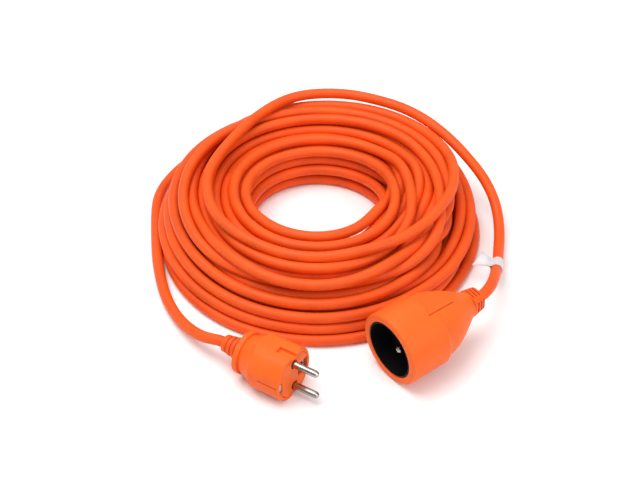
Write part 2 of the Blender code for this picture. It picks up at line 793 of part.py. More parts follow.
def add_tag():
    """A blank paper label, folded round the cord and stuck to itself as a flag."""
    middle = Vector(SOCKET_ROUTE[TAG_POINT])
    along = (Vector(SOCKET_ROUTE[TAG_POINT + 1]) - Vector(SOCKET_ROUTE[TAG_POINT - 1])).normalized()
    level = along.cross(Vector((0, 0, 1))).normalized()
    normal = along.cross(level)
    matrix = Matrix((level, normal, along)).transposed().to_4x4()
    matrix.translation = middle
    frame = empty_at("tag_frame", matrix)
    inner = CORD_RADIUS + GAP + 0.0004
    half = TAG_WIDTH / 2
    sleeve = (
        (inner + TAG_THICKNESS, half),
        (inner + TAG_THICKNESS, -half),
        (inner, -half),
        (inner, half),
    )
    tag = turned("cord_tag", sleeve, frame, 16)
    start = inner + TAG_THICKNESS / 2
    flag = box_cutter(
        "tag_flag", (start, -TAG_THICKNESS, -half), (start + TAG_LENGTH, TAG_THICKNESS, half), frame
    )
    boolean(tag, flag, "UNION")
    finish_part(tag, WHITE, 0.7)


def smooth_round_pieces():
    for piece in PARTS.objects:
        if piece.type == "MESH":
            piece.data.shade_smooth()
            piece.data.set_sharp_from_angle(angle=math.radians(35))


add_plug()
add_socket()
add_coil()
add_leads()
add_tag()
smooth_round_pieces()
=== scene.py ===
"""The looks of the extension cord: one 20 m lead wound in a coil, its plug, its socket and its tag."""

import math

import bmesh
import bpy
import numpy as np
from mathutils import Matrix, Vector


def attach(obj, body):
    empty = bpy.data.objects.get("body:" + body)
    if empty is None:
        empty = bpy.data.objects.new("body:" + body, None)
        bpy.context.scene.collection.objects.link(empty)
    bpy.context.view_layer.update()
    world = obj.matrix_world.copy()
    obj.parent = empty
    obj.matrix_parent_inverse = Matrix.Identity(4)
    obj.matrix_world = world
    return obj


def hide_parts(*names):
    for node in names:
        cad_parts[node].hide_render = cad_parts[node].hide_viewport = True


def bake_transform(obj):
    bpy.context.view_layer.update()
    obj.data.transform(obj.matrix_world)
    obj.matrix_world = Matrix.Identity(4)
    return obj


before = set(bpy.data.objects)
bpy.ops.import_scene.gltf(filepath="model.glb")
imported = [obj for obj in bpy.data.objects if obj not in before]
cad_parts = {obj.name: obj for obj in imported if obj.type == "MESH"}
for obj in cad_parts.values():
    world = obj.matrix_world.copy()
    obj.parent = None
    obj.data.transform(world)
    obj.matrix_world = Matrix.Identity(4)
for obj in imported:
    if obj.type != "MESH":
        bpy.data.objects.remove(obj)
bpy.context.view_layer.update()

BODY = "cord_and_ends"

# ---------------------------------------------------------------- driving dimensions
CORD_DIAMETER = 0.0078
CORD_RADIUS = CORD_DIAMETER / 2

PLUG_FACE = Vector((-0.0149, -0.1565, 0.017))
PLUG_HEADING = math.radians(-33)
PLUG_RELIEF_END = 0.055
SOCKET_RADIUS = 0.026
SOCKET_HEADING = math.radians(217)
SOCKET_DIP = math.radians(3)
SOCKET_ROLL = math.radians(-55)
SOCKET_MOUTH = Vector((0.0465, -0.1431, SOCKET_RADIUS * math.cos(SOCKET_DIP)))
SOCKET_RELIEF_END = 0.078

# The free stretches of the cord, as in the CAD.
SOCKET_ROUTE = (
    (-0.060, 0.066, 0.0484),
    (-0.051, 0.081, 0.0486),
    (-0.038, 0.098, 0.0486),
    (-0.023, 0.1115, 0.0486),
    (-0.008, 0.1175, 0.0486),
    (0.010, 0.119, 0.0486),
    (0.027, 0.117, 0.0486),
    (0.044, 0.111, 0.0484),
    (0.065, 0.101, 0.0476),
    (0.085, 0.085, 0.0453),
    (0.101, 0.068, 0.0405),
    (0.114, 0.053, 0.0335),
    (0.125, 0.039, 0.0250),
    (0.132, 0.021, 0.0160),
    (0.133, -0.002, 0.0090),
    (0.131, -0.018, 0.0080),
    (0.128, -0.040, 0.0120),
    (0.122, -0.070, 0.0240),
    (0.118, -0.084, 0.0285),
)
PLUG_ROUTE = (
    (-0.113, 0.070, 0.0040),
    (-0.119, 0.054, 0.0040),
    (-0.121, 0.036, 0.0040),
    (-0.119, 0.007, 0.0040),
    (-0.116, -0.022, 0.0040),
    (-0.111, -0.049, 0.0040),
    (-0.105, -0.070, 0.0042),
    (-0.097, -0.088, 0.0054),
    (-0.088, -0.103, 0.0085),
    (-0.079, -0.115, 0.0125),
    (-0.070, -0.122, 0.0156),
)


# ---------------------------------------------------------------- camera
CAMERA_PITCH = math.radians(40)
CAMERA_DISTANCE = 1.125
CAMERA_TARGET = Vector((0.0018, 0, 0))


def add_camera():
    """Looks along +Y and down, from just over a metre away."""
    data = bpy.data.cameras.new("camera")
    data.lens = 86.0
    data.sensor_width = 36.0
    data.clip_end = 20
    camera = bpy.data.objects.new("camera", data)
    backward = Vector((0, -math.cos(CAMERA_PITCH), math.sin(CAMERA_PITCH)))
    camera.location = CAMERA_TARGET + CAMERA_DISTANCE * backward
    camera.rotation_euler = (math.pi / 2 - CAMERA_PITCH, 0, 0)
    bpy.context.scene.collection.objects.link(camera)
    bpy.context.scene.camera = camera


add_camera()
bpy.context.scene.view_settings.view_transform = "Standard"


# ---------------------------------------------------------------- the frames of the end pieces
def axis_matrix(place, heading, dip):
    """+Z points along the heading, dipped below level, and +X upwards."""
    forward = Vector((math.cos(heading) * math.cos(dip), math.sin(heading) * math.cos(dip), -math.sin(dip)))
    upward = (Vector((0, 0, 1)) - forward * forward.z).normalized()
    matrix = Matrix((upward, forward.cross(upward), forward)).transposed().to_4x4()
    matrix.translation = place
    return matrix


PLUG = axis_matrix(PLUG_FACE, PLUG_HEADING, 0)
SOCKET = axis_matrix(SOCKET_MOUTH, SOCKET_HEADING, SOCKET_DIP)
INSERT = SOCKET @ Matrix.Rotation(SOCKET_ROLL, 4, "Z")


# ---------------------------------------------------------------- the cord's line
LEAD_STEP = 0.004  # between the points of a free stretch
CORD_STEP = 0.0052  # between the points of the whole cord
BEHIND_RELIEF = (0.004, 0.0003)  # where the cord's last two points are


def smooth_line(route, step):
    """Points about a step apart on a centripetal Catmull-Rom curve through the route."""
    points = np.array([tuple(point) for point in route], float)
    points = np.vstack([2 * points[0] - points[1], points, 2 * points[-1] - points[-2]])
    line = []
    for index in range(len(points) - 3):
        four = points[index : index + 4]
        knots = np.concatenate([[0], np.cumsum(np.linalg.norm(np.diff(four, axis=0), axis=1) ** 0.5)])
        count = max(1, round(np.linalg.norm(four[2] - four[1]) / step))
        for t in np.linspace(knots[1], knots[2], count, endpoint=False):
            line.append(catmull_rom(t, knots, four))
    line.append(points[-2])
    return np.array(line)


def catmull_rom(t, knots, points):
    """The point at t on the curve between the middle two of four points."""
    level = list(points)
    for width in (1, 2, 3):
        spans = []
        for index in range(4 - width):
            low, high = (knots[1], knots[2]) if width == 3 else (knots[index], knots[index + width])
            share = (t - low) / (high - low)
            spans.append(level[index] * (1 - share) + level[index + 1] * share)
        level = spans
    return level[0]


def relief_end(matrix, end):
    """Two points on an end piece's axis, which lead the cord straight into its strain relief."""
    return [tuple(matrix @ Vector((0, 0, -end - distance))) for distance in BEHIND_RELIEF]


def smooth_step(share):
    """A share from 0 to 1 that starts and stops gently."""
    share = min(1.0, max(0.0, share))
    return share * share * (3 - 2 * share)


STATIONS = 96  # round the coil
STEP_ANGLE = 2 * math.pi / STATIONS
# The coil's turns lie in rows, from the floor up. Each row has a number of turns, and the
# (radius, height) of its innermost and outermost turn.
TURNS_IN_ROW = (8, 6, 7, 6, 5, 4)
FRONT_ROWS = (
    ((0.0480, 0.0039), (0.1107, 0.0039)),
    ((0.0490, 0.0110), (0.1068, 0.0110)),
    ((0.0470, 0.0182), (0.1025, 0.0182)),
    ((0.0460, 0.0254), (0.0968, 0.0254)),
    ((0.0490, 0.0330), (0.0880, 0.0330)),
    ((0.0440, 0.0405), (0.0770, 0.0395)),
)
BACK_ROWS = (
    ((0.0735, 0.0039), (0.1205, 0.0060)),
    ((0.0770, 0.0085), (0.1210, 0.0150)),
    ((0.0745, 0.0130), (0.1205, 0.0235)),
    ((0.0745, 0.0200), (0.1190, 0.0320)),
    ((0.0800, 0.0250), (0.1065, 0.0410)),
    ((0.0730, 0.0290), (0.0980, 0.0390)),
)
# The first turn lies round the others on the floor until it is at the coil's right. The last
# turn lies on top of the others. Both are (azimuth in degrees, radius, height).
FIRST_TURN = (
    (148, 0.1329, 0.0039),
    (130, 0.1275, 0.0039),
    (110, 0.1255, 0.0039),
    (80, 0.1260, 0.0039),
    (55, 0.1215, 0.0039),
    (30, 0.1140, 0.0039),
    (0, 0.1090, 0.0039),
    (-30, 0.1095, 0.0039),
)
LAST_TURN = (
    (148, 0.1020, 0.0395),
    (120, 0.1110, 0.0415),
    (90, 0.1155, 0.0425),
    (60, 0.1175, 0.0425),
    (40, 0.1155, 0.0430),
    (20, 0.1060, 0.0445),
    (0, 0.0940, 0.0460),
    (-30, 0.0810, 0.0455),
    (-60, 0.0735, 0.0450),
    (-90, 0.0700, 0.0440),
    (-120, 0.0720, 0.0440),
    (-150, 0.0725, 0.0445),
    (-180, 0.0725, 0.0450),
    (-212, 0.0810, 0.0475),
    (-228, 0.0892, 0.0484),
)
LAST_TURN_SLOT = 2  # the place in the top row that it takes at the front
INNER_NARROWING = 0.19  # of the innermost turns at the coil's sides
OUTER_NARROWING = 0.035
BULGES = ((48, 30, 0.0080), (152, 22, 0.0065))  # azimuth and spread in degrees, and depth
BULGE_FROM = 0.075  # the radius where a turn starts to feel a bulge
BULGE_OVER = 0.035  # and how much further out it feels all of it
SWAPS = 10  # of one turn with the next
SWAP_FROM = 2  # turns that keep their order at the start
SWAP_UNTIL = 9  # and at the end
# Each turn moves over to its next place at the coil's right. These are shares of a lap.
MOVE_START = 0.30
MOVE_SPREAD = 0.16  # of the turns' different starts
MOVE_LENGTH = 0.20
WOBBLE = 0.0008  # how far a turn strays from round


def section_places(rows):
    """The (radius, height) of every turn in one section, row by row from the floor."""
    places = []
    for count, (inner, outer) in zip(TURNS_IN_ROW, rows):
        places.append(np.linspace(inner, outer, count))
    return np.concatenate(places)


FRONT = section_places(FRONT_ROWS)
BACK = section_places(BACK_ROWS)


def winding_order(random):
    """Rows from the floor up, each wound the other way, with a few turns out of place."""
    order = []
    start = 0
    for row, count in enumerate(TURNS_IN_ROW):
        turns = list(range(start, start + count))
        start += count
        order += turns[::-1] if row % 2 == 0 else turns
    for _ in range(SWAPS):
        spot = random.integers(SWAP_FROM, len(order) - SWAP_UNTIL)
        order[spot], order[spot + 1] = order[spot + 1], order[spot]
    top_row = sum(TURNS_IN_ROW[:-1])
    under_last = top_row - 1
    order.remove(under_last)
    order.remove(top_row + LAST_TURN_SLOT)
    # The first lap reaches the first place only half-way round, so that place comes twice.
    return [order[0], *order, under_last]


def bulge(angle):
    """How far the outer turns stand out behind, on the right and on the left."""
    total = 0
    for azimuth, spread, depth in BULGES:
        off = (math.degrees(angle) - azimuth + 180) % 360 - 180
        total += depth * math.exp(-((off / spread) ** 2))
    return total


def place_on(stretch, azimuth):
    """(radius, height) of the first or the last turn at an azimuth."""
    azimuths, radii, heights = zip(*reversed(stretch))
    return np.interp(azimuth, azimuths, radii), np.interp(azimuth, azimuths, heights)


def place_in_section(slot, angle):
    """(radius, height) of one place in the coil's section, which changes from front to back."""
    back_share = smooth_step(0.5 + 0.5 * math.sin(angle))
    outward = (FRONT[slot, 0] - FRONT[:, 0].min()) / np.ptp(FRONT[:, 0])
    narrowing = INNER_NARROWING + (OUTER_NARROWING - INNER_NARROWING) * outward
    spot = (1 - back_share) * FRONT[slot] + back_share * BACK[slot]
    spot[0] *= 1 - narrowing * math.cos(angle) ** 4
    spot[0] += bulge(angle) * min(1, max(0, (spot[0] - BULGE_FROM) / BULGE_OVER))
    return spot


def guide_line(random):
    """The angle of each station of the coiled stretch, and its (radius, height) before it settles."""
    order = winding_order(random)
    start_angle = math.atan2(PLUG_ROUTE[0][1], PLUG_ROUTE[0][0])
    end_angle = math.atan2(SOCKET_ROUTE[0][1], SOCKET_ROUTE[0][0])
    turns = len(order) + 1
    count = turns * STATIONS + round((start_angle - end_angle) / STEP_ANGLE)
    angles = start_angle - STEP_ANGLE * np.arange(count + 1)
    delay = random.uniform(-0.25, 0.25, turns + 2)
    wobble = random.normal(0, 1, (turns + 2, 4))  # only two of each turn's four are used
    line = np.empty((count + 1, 2))
    for index, angle in enumerate(angles):
        turned = (start_angle - angle) / (2 * math.pi)
        turn = int(turned)
        azimuth = math.degrees(angle - start_angle) + FIRST_TURN[0][0]
        if azimuth > FIRST_TURN[-1][0]:
            line[index] = place_on(FIRST_TURN, azimuth)
            continue
        if turn >= len(order):
            line[index] = place_on(LAST_TURN, azimuth + 360 * len(order))
            continue
        moved = smooth_step((turned - turn - MOVE_START - delay[turn] * MOVE_SPREAD) / MOVE_LENGTH)
        following = order[min(len(order) - 1, turn + 1)]
        place = (1 - moved) * place_in_section(order[turn], angle)
        place += moved * place_in_section(following, angle)
        place[0] += WOBBLE * (wobble[turn, 0] * math.cos(2 * angle) + wobble[turn, 1] * math.sin(3 * angle))
        line[index] = place
    return angles, line


def lead_stations(route):
    """(angle, radius, height) along a free stretch, for the turns beside it."""
    line = smooth_line(route, LEAD_STEP)
    angle = np.unwrap(np.arctan2(line[:, 1], line[:, 0]))
    return angle, np.hypot(line[:, 0], line[:, 1]), line[:, 2]


SETTLING_ROUNDS = 260
PULL_TO_GUIDE = 0.03  # at the start of settling, and less and less later
SAG = 0.00002  # in each round
SMOOTHING = 0.35  # of the way to the middle of a point's neighbours
SMOOTHING_FADE = 0.8  # how much of that is gone by the last round
SMOOTHING_PASSES = 2
TURN_PITCH = CORD_DIAMETER * 1.012  # a little over a diameter
MISSING_TURN = 10.0  # the radius of stations that the last lap doesn't have
MISSING_LEAD = 50.0  # and of those that a free stretch doesn't reach


def settle(line, leads, fixed):
    """Pushes the turns apart until none lies in another, and keeps each one smooth."""
    guide = line.copy()
    free = ~fixed
    count = len(line)
    rows = -(-count // STATIONS)
    total = rows * STATIONS
    for step in range(SETTLING_ROUNDS):
        progress = step / SETTLING_ROUNDS
        line[free] += PULL_TO_GUIDE * (1 - progress) ** 2 * (guide[free] - line[free])
        line[free, 1] -= SAG * (1 - progress)
        smoothing = SMOOTHING * (1 - SMOOTHING_FADE * progress)
        for _ in range(SMOOTHING_PASSES):
            middle = 0.5 * (line[:-2] + line[2:])
            inner = free[1:-1]
            line[1:-1][inner] += smoothing * (middle[inner] - line[1:-1][inner])
        padded = np.full((total, 2), MISSING_TURN)
        padded[:count] = line
        padded[count:, 0] += np.arange(total - count)
        stack = np.concatenate([padded.reshape(rows, STATIONS, 2), leads])
        push = contact_push(stack)
        line[free] += push[:rows].reshape(total, 2)[:count][free]
        line[:, 1] = np.maximum(line[:, 1], CORD_RADIUS)
    return line


def contact_push(stack):
    """How far each turn moves at each station to be a diameter from its neighbours."""
    apart = stack[:, None] - stack[None, :]
    distance = np.sqrt((apart**2).sum(-1)) + 1e-9
    overlap = np.maximum(0, TURN_PITCH - distance)
    for turn in range(len(stack)):
        overlap[turn, turn] = 0
    return 0.5 * (apart * (overlap / distance)[..., None]).sum(1)


def row_of_lead(route, angles):
    """A free stretch as one more row of stations, far away where it doesn't reach."""
    angle, radius, height = lead_stations(route)
    order = np.argsort(angle)
    row = np.full((1, STATIONS, 2), MISSING_LEAD)
    for station, at in enumerate(angles[:STATIONS]):
        for lap in (-2, -1, 0, 1, 2):
            turned = at + lap * 2 * math.pi
            if angle.min() <= turned <= angle.max():
                row[0, station, 0] = np.interp(turned, angle[order], radius[order])
                row[0, station, 1] = np.interp(turned, angle[order], height[order])
    return row


def coil_line():
    """The coiled stretch, from the plug's lead to the socket's."""
    random = np.random.default_rng(7)
    angles, line = guide_line(random)
    fixed = ease_ends(angles, line)
    leads = np.concatenate([row_of_lead(PLUG_ROUTE, angles), row_of_lead(SOCKET_ROUTE, angles)])
    line = settle(line, leads, fixed)
    points = np.empty((len(line), 3))
    points[:, 0] = line[:, 0] * np.cos(angles)
    points[:, 1] = line[:, 0] * np.sin(angles)
    points[:, 2] = line[:, 1]
    return points


EASED_AT_PLUG = 34  # stations
EASED_AT_SOCKET = 30
EASED_FADE = 0.5  # radians in which a lead's slope dies away


def ease_ends(angles, line):
    """Runs the coil's ends on from the free stretches, and says which stations are then fixed."""
    fixed = np.zeros(len(line), bool)
    for route, end, length in ((PLUG_ROUTE, 0, EASED_AT_PLUG), (SOCKET_ROUTE, -1, EASED_AT_SOCKET)):
        angle, radius, height = lead_stations(route)
        slope_r = (radius[0] - radius[3]) / (angle[0] - angle[3])
        slope_z = (height[0] - height[3]) / (angle[0] - angle[3])
        for offset in range(length):
            index = offset if end == 0 else len(line) - 1 - offset
            turned = angles[index] - angles[end]
            share = smooth_step(offset / (length - 1))
            fade = math.exp(-abs(turned) / EASED_FADE)
            start_r = radius[0] + slope_r * turned * fade
            start_z = height[0] + slope_z * turned * fade
            line[index, 0] = (1 - share) * start_r + share * line[index, 0]
            line[index, 1] = (1 - share) * start_z + share * line[index, 1]
            fixed[index] = offset < length // 2
    return fixed


def even_line(points, step):
    """The same line with its points a step apart."""
    run = np.concatenate([[0], np.cumsum(np.linalg.norm(np.diff(points, axis=0), axis=1))])
    count = int(round(run[-1] / step))
    at = np.linspace(0, run[-1], count + 1)
    return np.stack([np.interp(at, run, points[:, axis]) for axis in range(3)], axis=1)


def whole_cord():
    """The whole line, from the plug's strain relief to the socket's."""
    plug = smooth_line([*PLUG_ROUTE, *relief_end(PLUG, PLUG_RELIEF_END)], LEAD_STEP)[::-1]
    socket = smooth_line([*SOCKET_ROUTE, *relief_end(SOCKET, SOCKET_RELIEF_END)], LEAD_STEP)
    points = even_line(np.concatenate([plug, coil_line()[1:-1], socket]), CORD_STEP)
    for _ in range(3):
        points[2:-2] = 0.25 * points[1:-3] + 0.5 * points[2:-2] + 0.25 * points[3:-1]
    points[:, 2] = np.maximum(points[:, 2], CORD_RADIUS)
    return points


def add_cord():
    """One curve along the whole line, as thick as the cord."""
    points = whole_cord()
    curve = bpy.data.curves.new("cord", "CURVE")
    curve.dimensions = "3D"
    curve.bevel_depth = 1.0  # scaled by each point's radius
    curve.bevel_resolution = 4
    curve.use_fill_caps = True
    spline = curve.splines.new("POLY")
    spline.points.add(len(points) - 1)
    spline.points.foreach_set("co", np.column_stack([points, np.ones(len(points))]).ravel())
    spline.points.foreach_set("radius", np.full(len(points), CORD_RADIUS))
    spline.use_smooth = True
    cord = bpy.data.objects.new("cord", curve)
    bpy.context.scene.collection.objects.link(cord)
    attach(cord, BODY)
    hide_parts("cord_coil", "cord_plug_lead", "cord_socket_lead")
    return cord, points


CORD, CORD_POINTS = add_cord()


# ---------------------------------------------------------------- mesh helpers
IDENTITY = Matrix.Identity(4)
ROUNDING_STEPS = 5
MOST_OF_HALF = 0.48  # of an outline's edge, so that two roundings never meet
ON_AXIS = 1e-6  # a radius under this is a single point
SHARP_ANGLE = math.radians(32)
BEVEL_ANGLE = math.radians(38)


def rounded(outline):
    """The outline's points, with a curve in place of each corner that has a rounding."""
    points = []
    for index, (radius, height, rounding) in enumerate(outline):
        corner = Vector((radius, height))
        if rounding == 0:
            points.append(corner)
            continue
        before = Vector(outline[index - 1][:2]) - corner
        after = Vector(outline[(index + 1) % len(outline)][:2]) - corner
        start = corner + before.normalized() * min(rounding, before.length * MOST_OF_HALF)
        end = corner + after.normalized() * min(rounding, after.length * MOST_OF_HALF)
        for step in range(ROUNDING_STEPS + 1):
            share = step / ROUNDING_STEPS
            points.append(start.lerp(corner, share).lerp(corner.lerp(end, share), share))
    return points


def squared(angle, power=3.6):
    """How far a rounded square reaches at this angle, as a share of its half width."""
    return (abs(math.cos(angle)) ** power + abs(math.sin(angle)) ** power) ** (-1 / power)


def turned_mesh(outline, steps=96, square_from=math.inf):
    """A closed outline of (radius, height, rounding) turned about local Z.

    The rings whose radius is over square_from are rounded squares, not circles.
    """
    bm = bmesh.new()
    rings = []
    for radius, height in rounded(outline):
        if radius < ON_AXIS:
            rings.append([bm.verts.new((0, 0, height))])
            continue
        ring = []
        for step in range(steps):
            angle = 2 * math.pi * step / steps
            reach = radius * squared(angle) if radius > square_from else radius
            ring.append(bm.verts.new((reach * math.cos(angle), reach * math.sin(angle), height)))
        rings.append(ring)
    for index, ring in enumerate(rings):
        following = rings[(index + 1) % len(rings)]
        if len(ring) == 1 and len(following) == 1:
            continue
        for step in range(steps):
            beside = (step + 1) % steps
            corners = [ring[step % len(ring)], ring[beside % len(ring)]]
            corners += [following[beside % len(following)], following[step % len(following)]]
            bm.faces.new(list(dict.fromkeys(corners)))
    bmesh.ops.recalc_face_normals(bm, faces=bm.faces)
    return finished_mesh(bm, "turned")


def finished_mesh(bm, name):
    """A mesh with this name, from what has been built."""
    mesh = bpy.data.meshes.new(name)
    bm.to_mesh(mesh)
    bm.free()
    return mesh


def block_mesh(low, high, turn=IDENTITY):
    """A box between two corners, then turned."""
    bm = bmesh.new()
    bmesh.ops.create_cube(bm, size=1)
    low = Vector(low)
    high = Vector(high)
    for vert in bm.verts:
        share = vert.co + Vector((0.5, 0.5, 0.5))
        vert.co = turn @ Vector([low[axis] + (high[axis] - low[axis]) * share[axis] for axis in range(3)])
    return finished_mesh(bm, "block")


def shown(name, mesh, matrix, slot, *stands_for):
    """A new piece of the object, riding on the body."""
    piece = bpy.data.objects.new(name, mesh)
    piece.matrix_world = matrix
    bpy.context.scene.collection.objects.link(piece)
    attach(piece, BODY)
    if stands_for:
        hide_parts(*stands_for)
    return piece


def bake_shape(piece):
    """Applies the modifiers, and shades smooth all but the real edges."""
    bpy.context.view_layer.update()
    depsgraph = bpy.context.evaluated_depsgraph_get()
    mesh = bpy.data.meshes.new_from_object(piece.evaluated_get(depsgraph))
    piece.modifiers.clear()
    piece.data = mesh
    mesh.name = piece.name
    mesh.shade_smooth()
    mesh.set_sharp_from_angle(angle=SHARP_ANGLE)


def carve(piece, cutters, softness):
    """Cuts the cutters out of the piece and rounds the edges that they leave."""
    tools = []
    for mesh in cutters:
        tool = bpy.data.objects.new("cutter", mesh)
        tool.matrix_world = piece.matrix_world
        bpy.context.scene.collection.objects.link(tool)
        cut = piece.modifiers.new("cut", "BOOLEAN")
        cut.operation = "DIFFERENCE"
        cut.solver = "EXACT"
        cut.object = tool
        tools.append(tool)
    if softness:
        edges = piece.modifiers.new("soft edges", "BEVEL")
        edges.width = softness
        edges.segments = 3
        edges.limit_method = "ANGLE"
        edges.angle_limit = BEVEL_ANGLE
        edges.use_clamp_overlap = True
    bake_shape(piece)
    for tool in tools:
        bpy.data.objects.remove(tool)


def sheet_piece(name, columns, thickness, matrix, slot, *stands_for):
    """A piece that is a thin sheet through columns of points."""
    bm = bmesh.new()
    verts = [[bm.verts.new(point) for point in column] for column in columns]
    for one, other in zip(verts, verts[1:]):
        for row in range(len(one) - 1):
            bm.faces.new((one[row], one[row + 1], other[row + 1], other[row]))
    piece = shown(name, finished_mesh(bm, name), matrix, slot, *stands_for)
    sheet = piece.modifiers.new("sheet", "SOLIDIFY")
    sheet.thickness = thickness
    sheet.offset = 0
    bake_shape(piece)
    return piece


# ---------------------------------------------------------------- plug
PLUG_RADIUS = 0.019
PLUG_FLATS = (0.0165, -0.017)  # from the axis to each flat
PLUG_FLAT_END = -0.0290
GUIDE_DEPTH = 0.0022
GUIDE_HALF = 0.0028
GUIDE_LENGTH = 0.0125
POCKET_RADIUS = 0.0163
POCKET_HALF = 0.0139
POCKET_DEPTH = 0.0171
FLANGE_RADIUS = 0.015
FLANGE_FRONT = -0.036
PLUG_REAR = -0.040
RELIEF_BORE = 0.0042
RELIEF_ROOT = 0.0068
RELIEF_SEAT = RELIEF_ROOT + 0.0003  # the hole in a moulding that the root stands in
BESIDE = 0.03  # past a moulding's side
AHEAD = 0.01  # in front of a moulding's face
PLUG_CUTS = (  # the low and high corner of each
    ((0.0008, 0.0184, -0.0165), (0.0017, BESIDE, -0.0012)),  # line under the near pad
    ((0.0022, -BESIDE, -0.0030), (0.0040, -0.0174, AHEAD)),  # notch in the far rim
    ((-0.0032, 0.0150, -0.0034), (0.0032, 0.0172, AHEAD)),  # room for the earth clip
)


def add_plug_body():
    """The plug's moulding: two flats with guide grooves, a flange, and room inside for the carrier."""
    outline = (
        (0, 0, 0),
        (PLUG_RADIUS, 0, 0.0020),
        (PLUG_RADIUS, -0.0250, 0.0020),
        (0.0166, -0.0272, 0.0014),
        (0.0130, FLANGE_FRONT, 0.0012),
        (FLANGE_RADIUS, FLANGE_FRONT, 0.0010),
        (FLANGE_RADIUS, PLUG_REAR, 0.0010),
        (0, PLUG_REAR, 0),
    )
    body = shown("plug_body", turned_mesh(outline), PLUG, "moulding", "plug_housing")
    cutters = []
    for flat in PLUG_FLATS:
        side = math.copysign(1, flat)
        low, high = sorted((flat, side * BESIDE))
        cutters.append(block_mesh((low, -BESIDE, PLUG_FLAT_END), (high, BESIDE, AHEAD)))
        low, high = sorted((flat - side * GUIDE_DEPTH, side * BESIDE))
        cutters.append(block_mesh((low, -GUIDE_HALF, -GUIDE_LENGTH), (high, GUIDE_HALF, AHEAD)))
    cutters += [block_mesh(low, high) for low, high in PLUG_CUTS]
    carve(body, cutters, softness=0.0005)
    chamber = (
        (0, -0.014, 0),
        (0.0138, -0.014, 0),
        (0.0138, -0.0235, 0),
        (0.0098, -0.031, 0),
        (RELIEF_SEAT, -0.032, 0),
        (RELIEF_SEAT, -0.045, 0),
        (0, -0.045, 0),
    )
    pocket = (
        (0, AHEAD, 0),
        (POCKET_RADIUS, AHEAD, 0),
        (POCKET_RADIUS, -POCKET_DEPTH, 0),
        (0, -POCKET_DEPTH, 0),
    )
    carve(body, [pocket_mesh(pocket), turned_mesh(chamber, steps=48)], softness=0)
    return body


def pocket_mesh(outline):
    """A round pocket whose two sides are as flat as the insert's."""
    mesh = turned_mesh(outline, steps=64)
    for vert in mesh.vertices:
        vert.co.x = max(-POCKET_HALF, min(POCKET_HALF, vert.co.x))
    return mesh


PLUG_RIBS = (0.0083, 0.0076, 0.0070, 0.0063)  # radii, from the moulding back
RIB_PITCH = 0.0037
RIB_GROOVE = 0.0011
RIB_HEIGHT = 0.0014
GAP = 0.0001  # so that two corners never meet
PLUG_RELIEF_FRONT = -0.0323


def add_plug_relief():
    """A ribbed sleeve, with its root in the moulding."""
    shoulder = PLUG_REAR - 0.0003
    outline = [(RELIEF_ROOT, PLUG_RELIEF_FRONT, 0), (RELIEF_ROOT, shoulder, 0)]
    for index, radius in enumerate(PLUG_RIBS):
        top = shoulder - index * RIB_PITCH
        outline.append((radius, top - GAP, 0.0003))
        outline.append((radius - 0.0002, top - RIB_PITCH + RIB_GROOVE, 0.0003))
        if index < len(PLUG_RIBS) - 1:
            outline.append((radius - RIB_HEIGHT, top - RIB_PITCH + RIB_GROOVE - GAP, 0))
            outline.append((radius - RIB_HEIGHT, top - RIB_PITCH, 0))
    outline.append((PLUG_RIBS[-1] - 0.0004, -PLUG_RELIEF_END, 0.0004))
    outline.append((RELIEF_BORE, -PLUG_RELIEF_END, 0))
    outline.append((RELIEF_BORE, PLUG_RELIEF_FRONT, 0))
    mesh = turned_mesh(outline, steps=64)
    relief = shown("plug_relief", mesh, PLUG, "relief", "plug_strain_relief")
    bake_shape(relief)
    return relief


CLIP_MIDDLE = 0.0004
CLIP_HALF = 0.0029
CLIP_STEPS = 8
CLIP_SHEET = 0.0005
CLIP_PROFILE = (  # (y, z), from the plug's axis outwards
    (0.0143, -0.0010),
    (0.0145, -0.0003),
    (0.0151, 0.0001),
    (0.0160, 0.0000),
    (0.0168, -0.0010),
)


def add_earth_clip():
    """The bent end of the earth strap, seen in the rim of the plug's near side."""
    columns = []
    for step in range(CLIP_STEPS + 1):
        share = 2 * step / CLIP_STEPS - 1
        drop = 0.0003 + 0.0004 * abs(share) ** 4
        columns.append([(CLIP_MIDDLE + share * CLIP_HALF, y, z - drop) for y, z in CLIP_PROFILE])
    return sheet_piece("plug_earth_clip", columns, CLIP_SHEET, PLUG, "pin_metal")


# ---------------------------------------------------------------- socket
SOCKET_BORE = 0.0206
SOCKET_REAR = -0.068
SOCKET_SHOULDER = -0.0316
CARRIER_BORE = 0.0178
CARRIER_FRONT = -0.0177
CARRIER_REAR = -0.0355
GRIP_FRONT = -0.0255
GRIP_REAR = -0.0500
GRIPS = (  # the roll, and the distances from the axis at the front and at the rear
    (math.radians(14), 0.0206, 0.0157),
    (math.pi, 0.0219, 0.0183),
)
GRIP_REAR_RADIUS = 0.0187  # of the body, at GRIP_REAR
GRIP_LINE_WIDTH = 0.0009
GRIP_LINE_DEPTH = 0.0012
GRIP_LINE_OUTSIDE = 0.006  # of the cutter, past the surface
GRIP_CUT = (0.016, BESIDE, 0.036)  # its depth, half its width, and its length


